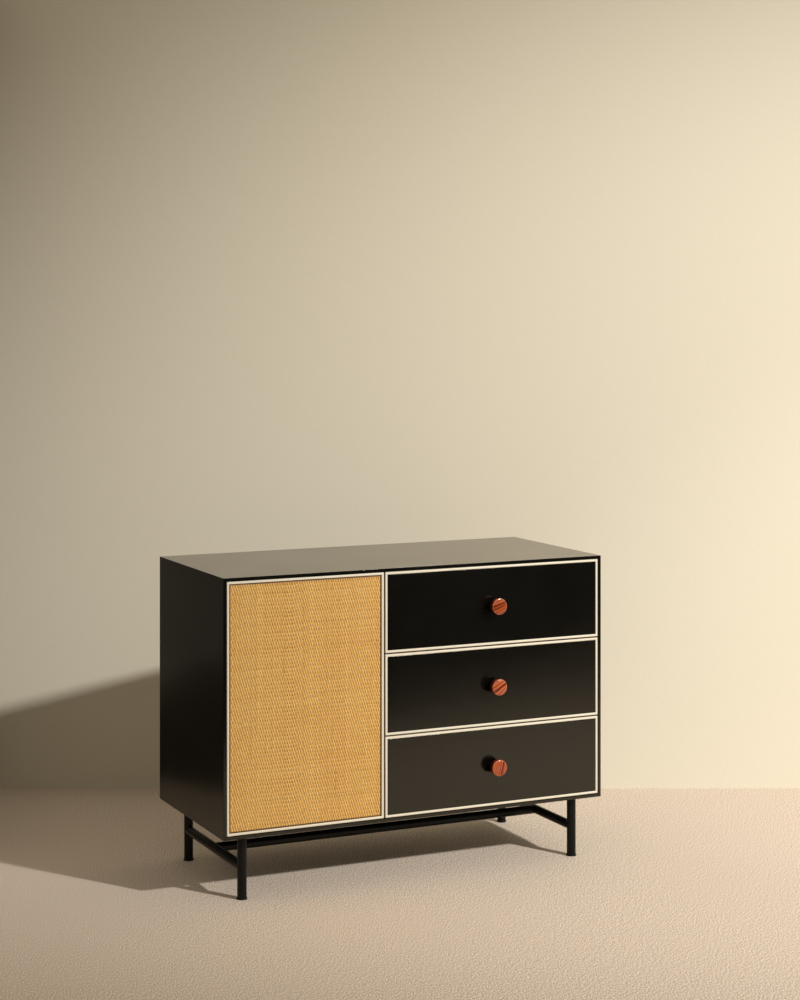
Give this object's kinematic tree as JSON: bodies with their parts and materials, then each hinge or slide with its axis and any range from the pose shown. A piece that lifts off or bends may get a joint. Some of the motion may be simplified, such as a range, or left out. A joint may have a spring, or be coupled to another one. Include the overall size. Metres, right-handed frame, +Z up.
{
  "type": "low cabinet with drawers",
  "caption": "Low black cabinet on a tubular steel base, with a woven-fibre cupboard door and a stack of pale-edged drawers with round wooden knobs.",
  "frame": {"origin": "on the floor, below the middle of the whole cabinet with its knobs", "axes": "+X to the right of someone facing the fronts, +Y to the back, +Z up"},
  "size_m": [1, 0.4802, 0.75],
  "materials": {
    "black_lacquer": "satin black lacquer on board",
    "ivory_edging": "pale lacquered wood edging",
    "woven_fibre": "natural fibre in a plain weave",
    "knob_wood": "polished red striped hardwood",
    "black_steel": "black powder coat",
    "foot_plastic": "moulded black",
    "drawer_wood": "clear sealed plywood and solid wood",
    "runner_wood": "waxed hardwood",
    "pivot_steel": "plain steel",
    "latch_plastic": "moulded black"
  },
  "bodies": {
    "cabinet": {"case_back": "black_lacquer", "case_bottom": "black_lacquer", "case_divider": "black_lacquer", "case_left_side": "black_lacquer", "case_right_side": "black_lacquer", "case_shelf": "black_lacquer", "case_top": "black_lacquer", "door_bottom_pivot": "pivot_steel", "door_top_pivot": "pivot_steel", "drawer_1_left_runner": "runner_wood", "drawer_1_right_runner": "runner_wood", "drawer_2_left_runner": "runner_wood", "drawer_2_right_runner": "runner_wood", "drawer_3_left_runner": "runner_wood", "drawer_3_right_runner": "runner_wood", "foot_back_left": "foot_plastic", "foot_back_right": "foot_plastic", "foot_front_left": "foot_plastic", "foot_front_right": "foot_plastic", "latch_body": "latch_plastic", "leg_back_left": "black_steel", "leg_back_right": "black_steel", "leg_front_left": "black_steel", "leg_front_right": "black_steel", "long_rail": "black_steel", "stretcher_left": "black_steel", "stretcher_right": "black_steel"},
    "door": {"door_board": "black_lacquer", "door_frame": "ivory_edging", "door_strike_plate": "pivot_steel", "door_woven_panel": "woven_fibre"},
    "latch_plunger": {"latch_plunger": "latch_plastic"},
    "drawer_1": {"drawer_1_back": "drawer_wood", "drawer_1_bottom": "drawer_wood", "drawer_1_edging": "ivory_edging", "drawer_1_front": "black_lacquer", "drawer_1_knob": "knob_wood", "drawer_1_knob_screw": "pivot_steel", "drawer_1_knob_stem": "black_steel", "drawer_1_left_side": "drawer_wood", "drawer_1_right_side": "drawer_wood"},
    "drawer_2": {"drawer_2_back": "drawer_wood", "drawer_2_bottom": "drawer_wood", "drawer_2_edging": "ivory_edging", "drawer_2_front": "black_lacquer", "drawer_2_knob": "knob_wood", "drawer_2_knob_screw": "pivot_steel", "drawer_2_knob_stem": "black_steel", "drawer_2_left_side": "drawer_wood", "drawer_2_right_side": "drawer_wood"},
    "drawer_3": {"drawer_3_back": "drawer_wood", "drawer_3_bottom": "drawer_wood", "drawer_3_edging": "ivory_edging", "drawer_3_front": "black_lacquer", "drawer_3_knob": "knob_wood", "drawer_3_knob_screw": "pivot_steel", "drawer_3_knob_stem": "black_steel", "drawer_3_left_side": "drawer_wood", "drawer_3_right_side": "drawer_wood"}
  },
  "joints": [
    {"name": "door_hinge", "type": "hinge", "parent": "cabinet", "child": "door", "pos_m": [-0.48332, -0.20545, 0.15868], "axis": [0, 0, -1], "range_deg": [0, 105]},
    {"name": "latch_press", "type": "slide", "parent": "cabinet", "child": "latch_plunger", "axis": [0, 1, 0], "range_m": [0, 0.003], "stiffness_N_per_m": 600},
    {"name": "drawer_1_slide", "type": "slide", "parent": "cabinet", "child": "drawer_1", "axis": [0, -1, 0], "range_m": [0, 0.3]},
    {"name": "drawer_2_slide", "type": "slide", "parent": "cabinet", "child": "drawer_2", "axis": [0, -1, 0], "range_m": [0, 0.3]},
    {"name": "drawer_3_slide", "type": "slide", "parent": "cabinet", "child": "drawer_3", "axis": [0, -1, 0], "range_m": [0, 0.3]}
  ]
}
